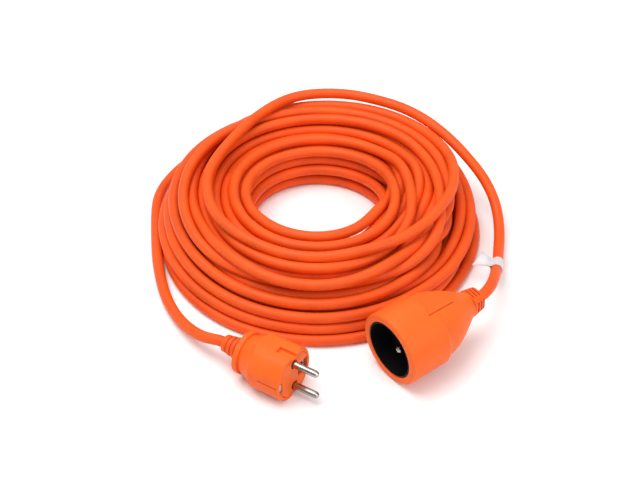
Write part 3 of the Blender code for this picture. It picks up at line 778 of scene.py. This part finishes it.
def add_socket_body():
    """The socket's moulding, hollow for its cup and carrier, with two flats to hold it by."""
    outline = (
        (SOCKET_BORE, 0, 0.0010),
        (SOCKET_RADIUS, 0, 0.0024),
        (SOCKET_RADIUS, SOCKET_SHOULDER, 0.0014),
        (0.0238, -0.0336, 0.0016),
        (0.0226, -0.0420, 0.0040),
        (0.0201, -0.0482, 0.0040),
        (0.0152, -0.0570, 0.0040),
        (0.0102, -0.0650, 0.0020),
        (0.0092, SOCKET_REAR, 0.0008),
        (RELIEF_SEAT, SOCKET_REAR, 0),
        (RELIEF_SEAT, -0.0560, 0),
        (0.0110, -0.0530, 0),
        (0.0145, -0.0440, 0),
        (0.0165, CARRIER_REAR, 0),
        (CARRIER_BORE, CARRIER_REAR, 0),
        (CARRIER_BORE, CARRIER_FRONT, 0),
        (SOCKET_BORE, CARRIER_FRONT, 0),
    )
    mesh = turned_mesh(outline, steps=128)
    body = shown("socket_body", mesh, SOCKET, "moulding", "socket_housing")
    carve(body, [grip_flat(*grip) for grip in GRIPS], softness=0.0006)
    carve(body, [grip_line(*grip, beside) for grip in GRIPS for beside in (1, -1)], softness=0)
    return body


def grip_flat(roll, front, rear):
    """A cutter for one of the two flats that fingers hold, deeper towards the cord."""
    slope = math.atan2(front - rear, GRIP_FRONT - GRIP_REAR)
    turn = Matrix.Rotation(roll, 4, "Z") @ Matrix.Translation((front, 0, GRIP_FRONT))
    depth, half, length = GRIP_CUT
    return block_mesh((0, -half, -length), (depth, half, 0), turn @ Matrix.Rotation(slope, 4, "Y"))


def grip_line(roll, front, rear, beside):
    """A cutter for the thin groove that runs along one side of a grip flat."""
    turn = Matrix.Rotation(roll, 4, "Z")
    start = turn @ Vector((front, beside * math.sqrt(SOCKET_RADIUS**2 - front**2), GRIP_FRONT))
    end = turn @ Vector((rear, beside * math.sqrt(GRIP_REAR_RADIUS**2 - rear**2), GRIP_REAR))
    along = (end - start).normalized()
    inward = -(start + end)
    inward.z = 0
    inward = (inward - along * inward.dot(along)).normalized()
    groove = Matrix((along, inward.cross(along), inward)).transposed().to_4x4()
    groove.translation = start
    half = GRIP_LINE_WIDTH / 2
    return block_mesh((0, -half, -GRIP_LINE_OUTSIDE), ((end - start).length, half, GRIP_LINE_DEPTH), groove)


SOCKET_RELIEF_FRONT = -0.0568
SLOT_ROWS = 3
SLOT_PITCH = 0.0027
FIRST_SLOT = 0.0022  # behind the moulding
SLOT_HALF_HEIGHT = 0.0005
SLOT_HALF_WIDTH = 0.0044
SLOT_FLOOR = 0.0060  # from the axis, in the first row
SLOT_FLOOR_STEP = 0.0004  # nearer the axis in each row
SLOT_OUTSIDE = 0.02


def add_socket_relief():
    """A squarish tapered sleeve with rows of slots, each row set off from the row beside it."""
    outline = (
        (RELIEF_ROOT, SOCKET_RELIEF_FRONT, 0),
        (RELIEF_ROOT, SOCKET_REAR - 0.0001, 0),
        (0.0084, SOCKET_REAR - 0.0003, 0.0005),
        (0.0069, -SOCKET_RELIEF_END, 0.0007),
        (RELIEF_BORE, -SOCKET_RELIEF_END, 0),
        (RELIEF_BORE, SOCKET_RELIEF_FRONT, 0),
    )
    mesh = turned_mesh(outline, steps=64, square_from=RELIEF_ROOT)
    relief = shown("socket_relief", mesh, SOCKET, "relief", "socket_strain_relief")
    cutters = []
    for quarter in range(4):
        turn = Matrix.Rotation(math.radians(90 * quarter), 4, "Z")
        for row in range(SLOT_ROWS):
            height = SOCKET_REAR - FIRST_SLOT - SLOT_PITCH * row - SLOT_PITCH / 2 * (quarter % 2)
            low = (SLOT_FLOOR - SLOT_FLOOR_STEP * row, -SLOT_HALF_WIDTH, height - SLOT_HALF_HEIGHT)
            high = (SLOT_OUTSIDE, SLOT_HALF_WIDTH, height + SLOT_HALF_HEIGHT)
            cutters.append(block_mesh(low, high, turn))
    carve(relief, cutters, softness=0)
    return relief


SPRING_LEVEL = -0.0190  # beside the shutter, in the carrier's track
SPRING_ENDS = (-0.0134, -0.0041)  # the fixed end, and the end at the shutter
SPRING_TURNS = 5
SPRING_STEPS = 16  # in each turn
SPRING_RADIUS = 0.0009
SPRING_WIRE_RADIUS = 0.0002


def add_shutter_spring():
    """The shutter's return spring, as a fixed coil; the real one shortens as the shutter slides open."""
    count = SPRING_TURNS * SPRING_STEPS
    curve = bpy.data.curves.new("shutter_spring", "CURVE")
    curve.dimensions = "3D"
    curve.bevel_depth = SPRING_WIRE_RADIUS
    curve.bevel_resolution = 2
    curve.use_fill_caps = True
    wire = curve.splines.new("POLY")
    wire.points.add(count)
    for index, point in enumerate(wire.points):
        angle = 2 * math.pi * index / SPRING_STEPS
        along = SPRING_ENDS[0] + (SPRING_ENDS[1] - SPRING_ENDS[0]) * index / count
        across = SPRING_RADIUS * math.cos(angle)
        point.co = (along, across, SPRING_LEVEL + SPRING_RADIUS * math.sin(angle), 1)
    former = bpy.data.objects.new("former", curve)
    mesh = bpy.data.meshes.new_from_object(former)
    bpy.data.objects.remove(former)
    bpy.data.curves.remove(curve)
    mesh.shade_smooth()
    spring = bpy.data.objects.new("shutter_spring", mesh)
    spring.matrix_world = INSERT
    bpy.context.scene.collection.objects.link(spring)
    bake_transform(spring)
    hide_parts("socket_shutter_spring")
    return spring


# ---------------------------------------------------------------- tag
TAG_PLACE = Vector((0.1265, -0.047, 0.0145))  # on the cord
TAG_WIDTH = 0.0150  # along the cord
TAG_FLAG = 0.0150  # from the cord to the flag's end
TAG_SHEET = 0.0003
TAG_SIDE = Vector((-0.86, 0.32, 0.38))  # where the flag points
TAG_HANG = Vector((-0.57, -0.53, -0.63))  # across the flag's end, which hangs a little twisted
TAG_CURL = 0.0035  # how far the flag's end bends out of its plane
TAG_STEPS = 12  # across its width
TAG_GATHER = 0.8  # the width of the flag's end, as a share of the tag's
TWIST_RATE = 1.4  # the twist is complete before the flag's end
TWIST_POWER = 1.3


def cord_frame(nearest, offset):
    """The cord's centre and direction, this far along it from a point of the line."""
    step = (CORD_POINTS[nearest + 1] - CORD_POINTS[nearest - 1]) / 2
    index = nearest + offset / np.linalg.norm(step)
    centre = point_on_cord(index)
    return centre, (point_on_cord(index + 0.5) - centre).normalized()


def point_on_cord(index):
    """The cord's centre at this point of its line, or part of the way to the next."""
    places = np.arange(len(CORD_POINTS))
    return Vector([np.interp(index, places, CORD_POINTS[:, axis]) for axis in range(3)])


def tag_section():
    """(outward, sideways) round the cord: in along the flag, round the cord, and out again."""
    ring = CORD_RADIUS + TAG_SHEET
    gap = TAG_SHEET * 0.7
    out = np.linspace(TAG_FLAG, ring + 0.0012, 10)
    turn = np.radians(np.linspace(16, 344, 30))
    wrap = [(ring * math.cos(angle), ring * math.sin(angle)) for angle in turn]
    return [(reach, gap) for reach in out] + wrap + [(reach, -gap) for reach in out[::-1]]


def add_tag():
    """A blank white label round the cord, its two ends stuck together as a flag that curls."""
    nearest = int(np.argmin(np.linalg.norm(CORD_POINTS - np.array(TAG_PLACE), axis=1)))
    middle = cord_frame(nearest, 0)[0]
    columns = []
    for step in range(TAG_STEPS + 1):
        offset = (step / TAG_STEPS - 0.5) * TAG_WIDTH
        centre, along = cord_frame(nearest, offset)
        side = (TAG_SIDE - along * TAG_SIDE.dot(along)).normalized()
        normal = along.cross(side)
        column = []
        for outward, sideways in tag_section():
            free = max(0, outward - CORD_RADIUS) / TAG_FLAG
            twist = min(1, free * TWIST_RATE) ** TWIST_POWER
            root = centre.lerp(middle + TAG_HANG * offset * TAG_GATHER, twist)
            column.append(root + side * outward + normal * (sideways + TAG_CURL * free**2))
        columns.append(column)
    return sheet_piece("tag", columns, TAG_SHEET, IDENTITY, "paper", "cord_tag")


PLUG_BODY = add_plug_body()
PLUG_RELIEF = add_plug_relief()
EARTH_CLIP = add_earth_clip()
SOCKET_BODY = add_socket_body()
SOCKET_RELIEF = add_socket_relief()
SHUTTER_SPRING = add_shutter_spring()
TAG = add_tag()


# ---------------------------------------------------------------- materials
class Surface:
    """A procedural material in the making: its shader, and noise in the object's own coordinates."""

    def __init__(self, name, metallic=0.0, specular=0.5):
        self.material = bpy.data.materials.new(name)
        self.material.use_nodes = True
        self.tree = self.material.node_tree
        self.shader = self.tree.nodes["Principled BSDF"]
        self.shader.inputs["Metallic"].default_value = metallic
        self.shader.inputs["Specular IOR Level"].default_value = specular
        self.place = self.tree.nodes.new("ShaderNodeTexCoord").outputs["Object"]
        self.bumped = None

    def noise(self, scale, detail=3.0, stretch=(1, 1, 1)):
        """Noise with scale cells to the metre, stretched along each axis."""
        mapping = self.tree.nodes.new("ShaderNodeMapping")
        mapping.inputs["Scale"].default_value = stretch
        self.tree.links.new(self.place, mapping.inputs["Vector"])
        noise = self.tree.nodes.new("ShaderNodeTexNoise")
        noise.inputs["Scale"].default_value = scale
        noise.inputs["Detail"].default_value = detail
        self.tree.links.new(mapping.outputs["Vector"], noise.inputs["Vector"])
        return noise.outputs["Fac"]

    def colours(self, source, stops):
        """The base colour, from stops of (position, colour)."""
        ramp = self.tree.nodes.new("ShaderNodeValToRGB")
        elements = ramp.color_ramp.elements
        while len(elements) < len(stops):
            elements.new(0.5)
        for element, (position, colour) in zip(elements, stops):
            element.position = position
            element.color = (*colour, 1)
        self.tree.links.new(source, ramp.inputs["Fac"])
        self.tree.links.new(ramp.outputs["Color"], self.shader.inputs["Base Color"])

    def roughness(self, source, low, high):
        """Roughness from low to high, over the range that noise mostly keeps to."""
        span = self.tree.nodes.new("ShaderNodeMapRange")
        span.inputs["From Min"].default_value = 0.3
        span.inputs["From Max"].default_value = 0.7
        span.inputs["To Min"].default_value = low
        span.inputs["To Max"].default_value = high
        self.tree.links.new(source, span.inputs["Value"])
        self.tree.links.new(span.outputs["Result"], self.shader.inputs["Roughness"])

    def bump(self, source, depth, strength):
        """Relief this deep in metres, on top of any relief already there."""
        bump = self.tree.nodes.new("ShaderNodeBump")
        bump.inputs["Distance"].default_value = depth
        bump.inputs["Strength"].default_value = strength
        self.tree.links.new(source, bump.inputs["Height"])
        if self.bumped is not None:
            self.tree.links.new(self.bumped, bump.inputs["Normal"])
        self.bumped = bump.outputs["Normal"]
        self.tree.links.new(self.bumped, self.shader.inputs["Normal"])


def tinted(colour, factor):
    """The colour, darker or lighter by a factor."""
    return tuple(min(1.0, channel * factor) for channel in colour)


def mottled(surface, colour, scale, spread):
    """Slow changes of tone, a little darker and lighter than the colour."""
    tone = surface.noise(scale)
    surface.colours(tone, ((0.30, tinted(colour, 1 - spread)), (0.70, tinted(colour, 1 + spread))))
    return tone


def sheath_material():
    """Soft PVC: satin, with a fine extruded grain and slow unevenness along the cord."""
    surface = Surface("cord_sheath", specular=0.24)
    tone = mottled(surface, SHEATH_ORANGE, scale=42, spread=0.10)
    surface.roughness(tone, 0.40, 0.56)
    surface.bump(surface.noise(260, 2), depth=0.00010, strength=0.5)
    surface.bump(surface.noise(2400, 2), depth=0.00003, strength=0.5)
    return surface.material


def moulding_material(name, colour):
    """Moulded PVC: even colour, a fine spark-eroded grain and faint sink marks."""
    surface = Surface(name, specular=0.20)
    tone = mottled(surface, colour, scale=65, spread=0.06)
    surface.roughness(tone, 0.42, 0.54)
    surface.bump(surface.noise(90, 1), depth=0.00012, strength=0.5)
    surface.bump(surface.noise(3200, 2), depth=0.00004, strength=0.6)
    return surface.material


def plastic_material(name, colour, roughness, grain, specular=0.5):
    """Hard plastic with a fine moulded grain."""
    surface = Surface(name, specular=specular)
    tone = mottled(surface, colour, scale=120, spread=0.12)
    surface.roughness(tone, roughness - 0.06, roughness + 0.06)
    surface.bump(surface.noise(3000, 2), depth=grain, strength=0.6)
    return surface.material


def metal_material(name, colour, roughness, tarnish, stretch):
    """Metal with a few duller patches and fine drawn or turned lines."""
    surface = Surface(name, metallic=1.0)
    patches = surface.noise(160, 4)
    surface.colours(patches, ((0.32, tinted(colour, 1 - tarnish)), (0.62, colour)))
    surface.roughness(surface.noise(700, 3, stretch), roughness - 0.05, roughness + 0.09)
    surface.bump(surface.noise(1500, 2, stretch), depth=0.00001, strength=0.5)
    return surface.material


def striped_material():
    """The earth core: yellow bands along green insulation."""
    surface = Surface("core_earth")
    wave = surface.tree.nodes.new("ShaderNodeTexWave")
    wave.inputs["Scale"].default_value = 190
    wave.inputs["Distortion"].default_value = 1.5
    surface.tree.links.new(surface.place, wave.inputs["Vector"])
    surface.colours(wave.outputs["Fac"], ((0.42, (0.05, 0.28, 0.04)), (0.58, (0.85, 0.66, 0.03))))
    surface.roughness(surface.noise(300), 0.4, 0.52)
    surface.bump(surface.noise(1800), depth=0.00002, strength=0.5)
    return surface.material


def paper_material():
    """Coated white label stock, with faint creases where it bends."""
    surface = Surface("paper")
    tone = surface.noise(180, 4)
    surface.colours(tone, ((0.30, (0.58, 0.56, 0.58)), (0.70, (0.70, 0.68, 0.70))))
    surface.roughness(tone, 0.38, 0.55)
    surface.bump(surface.noise(220, 3), depth=0.00016, strength=0.5)
    surface.bump(surface.noise(4000, 2), depth=0.00002, strength=0.4)
    return surface.material


def floor_material():
    """Matt white paper, with the faintest unevenness."""
    surface = Surface("floor", specular=0.1)
    tone = surface.noise(6)
    surface.colours(tone, ((0.35, (0.925, 0.925, 0.925)), (0.65, (0.935, 0.935, 0.935))))
    surface.roughness(tone, 0.8, 0.9)
    return surface.material


SHEATH_ORANGE = (0.80, 0.090, 0.008)
MOULDING_ORANGE = (0.85, 0.125, 0.012)
RELIEF_ORANGE = (0.82, 0.100, 0.010)

SHEATH = sheath_material()
MOULDING = moulding_material("moulding", MOULDING_ORANGE)
RELIEF = moulding_material("relief", RELIEF_ORANGE)
BLACK = plastic_material(
    "black_insert", (0.003, 0.003, 0.0035), roughness=0.55, grain=0.00004, specular=0.15
)
GREY = plastic_material("shutter", (0.05, 0.05, 0.055), roughness=0.45, grain=0.00004)
IVORY = plastic_material("carrier", (0.80, 0.77, 0.68), roughness=0.50, grain=0.00003)
NICKEL = metal_material(
    "pin_metal", (0.44, 0.41, 0.38), roughness=0.15, tarnish=0.30, stretch=(1, 1, 0.2)
)
BRASS = metal_material(
    "contact_brass", (0.74, 0.53, 0.22), roughness=0.30, tarnish=0.35, stretch=(1, 1, 0.3)
)
STEEL = metal_material(
    "spring_steel", (0.46, 0.46, 0.47), roughness=0.32, tarnish=0.30, stretch=(1, 1, 1)
)
BROWN = plastic_material("core_live", (0.16, 0.06, 0.02), roughness=0.45, grain=0.00002)
BLUE = plastic_material("core_neutral", (0.03, 0.14, 0.50), roughness=0.45, grain=0.00002)
GREEN_YELLOW = striped_material()
PAPER = paper_material()

# The first rule whose word is in a CAD object's name gives its material.
RULES = (
    ("core_live", BROWN),
    ("core_neutral", BLUE),
    ("core_earth", GREEN_YELLOW),
    ("tag", PAPER),
    ("cord", SHEATH),
    ("crimp", BRASS),
    ("sleeve", BRASS),
    ("pin", NICKEL),
    ("strap", NICKEL),
    ("spring", STEEL),
    ("carrier", IVORY),
    ("contact", BRASS),
    ("shutter", GREY),
    ("face", BLACK),
    ("relief", RELIEF),
    ("insert", MOULDING),
    ("housing", MOULDING),
)


def give_materials():
    """A material for every CAD object and for every new piece."""
    for name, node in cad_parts.items():
        material = next(material for word, material in RULES if word in name)
        node.data.materials.clear()
        node.data.materials.append(material)
    for piece, material in (
        (CORD, SHEATH),
        (PLUG_BODY, MOULDING),
        (PLUG_RELIEF, RELIEF),
        (EARTH_CLIP, NICKEL),
        (SOCKET_BODY, MOULDING),
        (SOCKET_RELIEF, RELIEF),
        (SHUTTER_SPRING, STEEL),
        (TAG, PAPER),
    ):
        piece.data.materials.clear()
        piece.data.materials.append(material)


give_materials()


# ---------------------------------------------------------------- floor and light
FLOOR_HALF = 3.0


def add_floor():
    """A plain pale floor that reaches past the view."""
    bm = bmesh.new()
    bmesh.ops.create_grid(bm, x_segments=1, y_segments=1, size=FLOOR_HALF)
    floor = bpy.data.objects.new("floor", finished_mesh(bm, "floor"))
    bpy.context.scene.collection.objects.link(floor)
    floor.data.materials.append(floor_material())


def add_light(name, place, size, power):
    """A soft square light that faces the object."""
    data = bpy.data.lights.new(name, "AREA")
    data.shape = "SQUARE"
    data.size = size
    data.energy = power
    light = bpy.data.objects.new(name, data)
    light.location = place
    light.rotation_euler = (Vector((0, 0, 0)) - Vector(place)).to_track_quat("-Z", "Y").to_euler()
    bpy.context.scene.collection.objects.link(light)


def add_world():
    """A white studio that is brightest overhead and darker towards the horizon."""
    world = bpy.data.worlds.new("world")
    bpy.context.scene.world = world
    world.use_nodes = True
    tree = world.node_tree
    direction = tree.nodes.new("ShaderNodeTexCoord")
    split = tree.nodes.new("ShaderNodeSeparateXYZ")
    ramp = tree.nodes.new("ShaderNodeValToRGB")
    horizon, overhead = ramp.color_ramp.elements
    horizon.position = 0.05
    horizon.color = (0.22, 0.22, 0.22, 1)
    overhead.position = 0.75
    overhead.color = (1, 1, 1, 1)
    tree.links.new(direction.outputs["Generated"], split.inputs["Vector"])
    tree.links.new(split.outputs["Z"], ramp.inputs["Fac"])
    tree.links.new(ramp.outputs["Color"], tree.nodes["Background"].inputs["Color"])
    tree.nodes["Background"].inputs["Strength"].default_value = 0.85


add_floor()
add_world()
add_light("key", place=(-0.4, 0.0, 1.4), size=1.1, power=16)
add_light("fill", place=(1.0, -1.0, 0.7), size=0.9, power=7)
